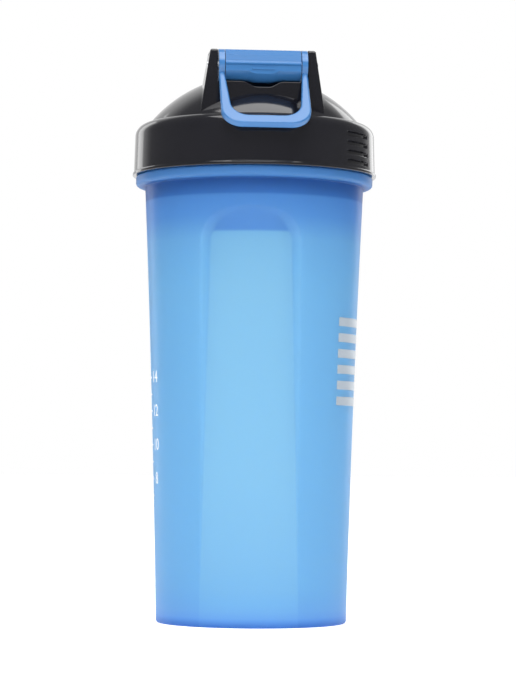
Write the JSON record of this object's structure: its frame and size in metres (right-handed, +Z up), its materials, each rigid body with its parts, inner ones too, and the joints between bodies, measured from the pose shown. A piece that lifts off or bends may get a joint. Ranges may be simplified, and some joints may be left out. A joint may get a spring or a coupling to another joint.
{
  "type": "protein shaker bottle",
  "caption": "Tapered translucent shaker cup with pressed-in grip panels, a domed screw lid, a hinged flip cap over the spout and a hanging carry loop.",
  "frame": {"origin": "middle of the base, on the surface that the bottle stands on", "axes": "+Z up along the bottle's axis, -Y towards the lid's hinge, +Y towards the spout, +X along the hinge pin"},
  "size_m": [0.0976, 0.1067, 0.227],
  "materials": {
    "cup_plastic": "translucent frosted polypropylene, blue",
    "lid_plastic": "gloss black polypropylene",
    "seal_rubber": "translucent white silicone",
    "strainer_plastic": "black polypropylene",
    "pin_steel": "drawn stainless wire",
    "blue_plastic": "satin blue polypropylene",
    "plug_rubber": "soft black elastomer",
    "print_white": "white pad print",
    "print_silver": "silver pad print"
  },
  "bodies": {
    "cup": {"cup": "cup_plastic"},
    "lid_seal": {"lid_seal": "seal_rubber"},
    "lid": {"lid": "lid_plastic", "strainer": "strainer_plastic", "hinge_pin": "pin_steel"},
    "flip_cap": {"flip_cap": "blue_plastic", "spout_plug": "plug_rubber"},
    "carry_loop": {"carry_loop": "blue_plastic"}
  },
  "joints": [
    {"name": "lid_rise", "type": "slide", "parent": "cup", "child": "lid_seal", "axis": [0, 0, 1], "range_m": [0, 0.0063]},
    {"name": "lid_turn", "type": "hinge", "parent": "lid_seal", "child": "lid", "pos_m": [0, 0, 0.186], "axis": [0, 0, 1], "range_deg": [0, 450]},
    {"name": "cap_flip", "type": "hinge", "parent": "lid", "child": "flip_cap", "pos_m": [0, -0.031, 0.2183], "axis": [1, 0, 0], "range_deg": [0, 150]},
    {"name": "loop_swing", "type": "hinge", "parent": "lid", "child": "carry_loop", "pos_m": [0, -0.031, 0.2183], "axis": [-1, 0, 0], "range_deg": [0, 200]}
  ],
  "couplings": [
    {"joint": "lid_rise", "follows": "lid_turn", "m_per_rad": 0.00079577}
  ]
}
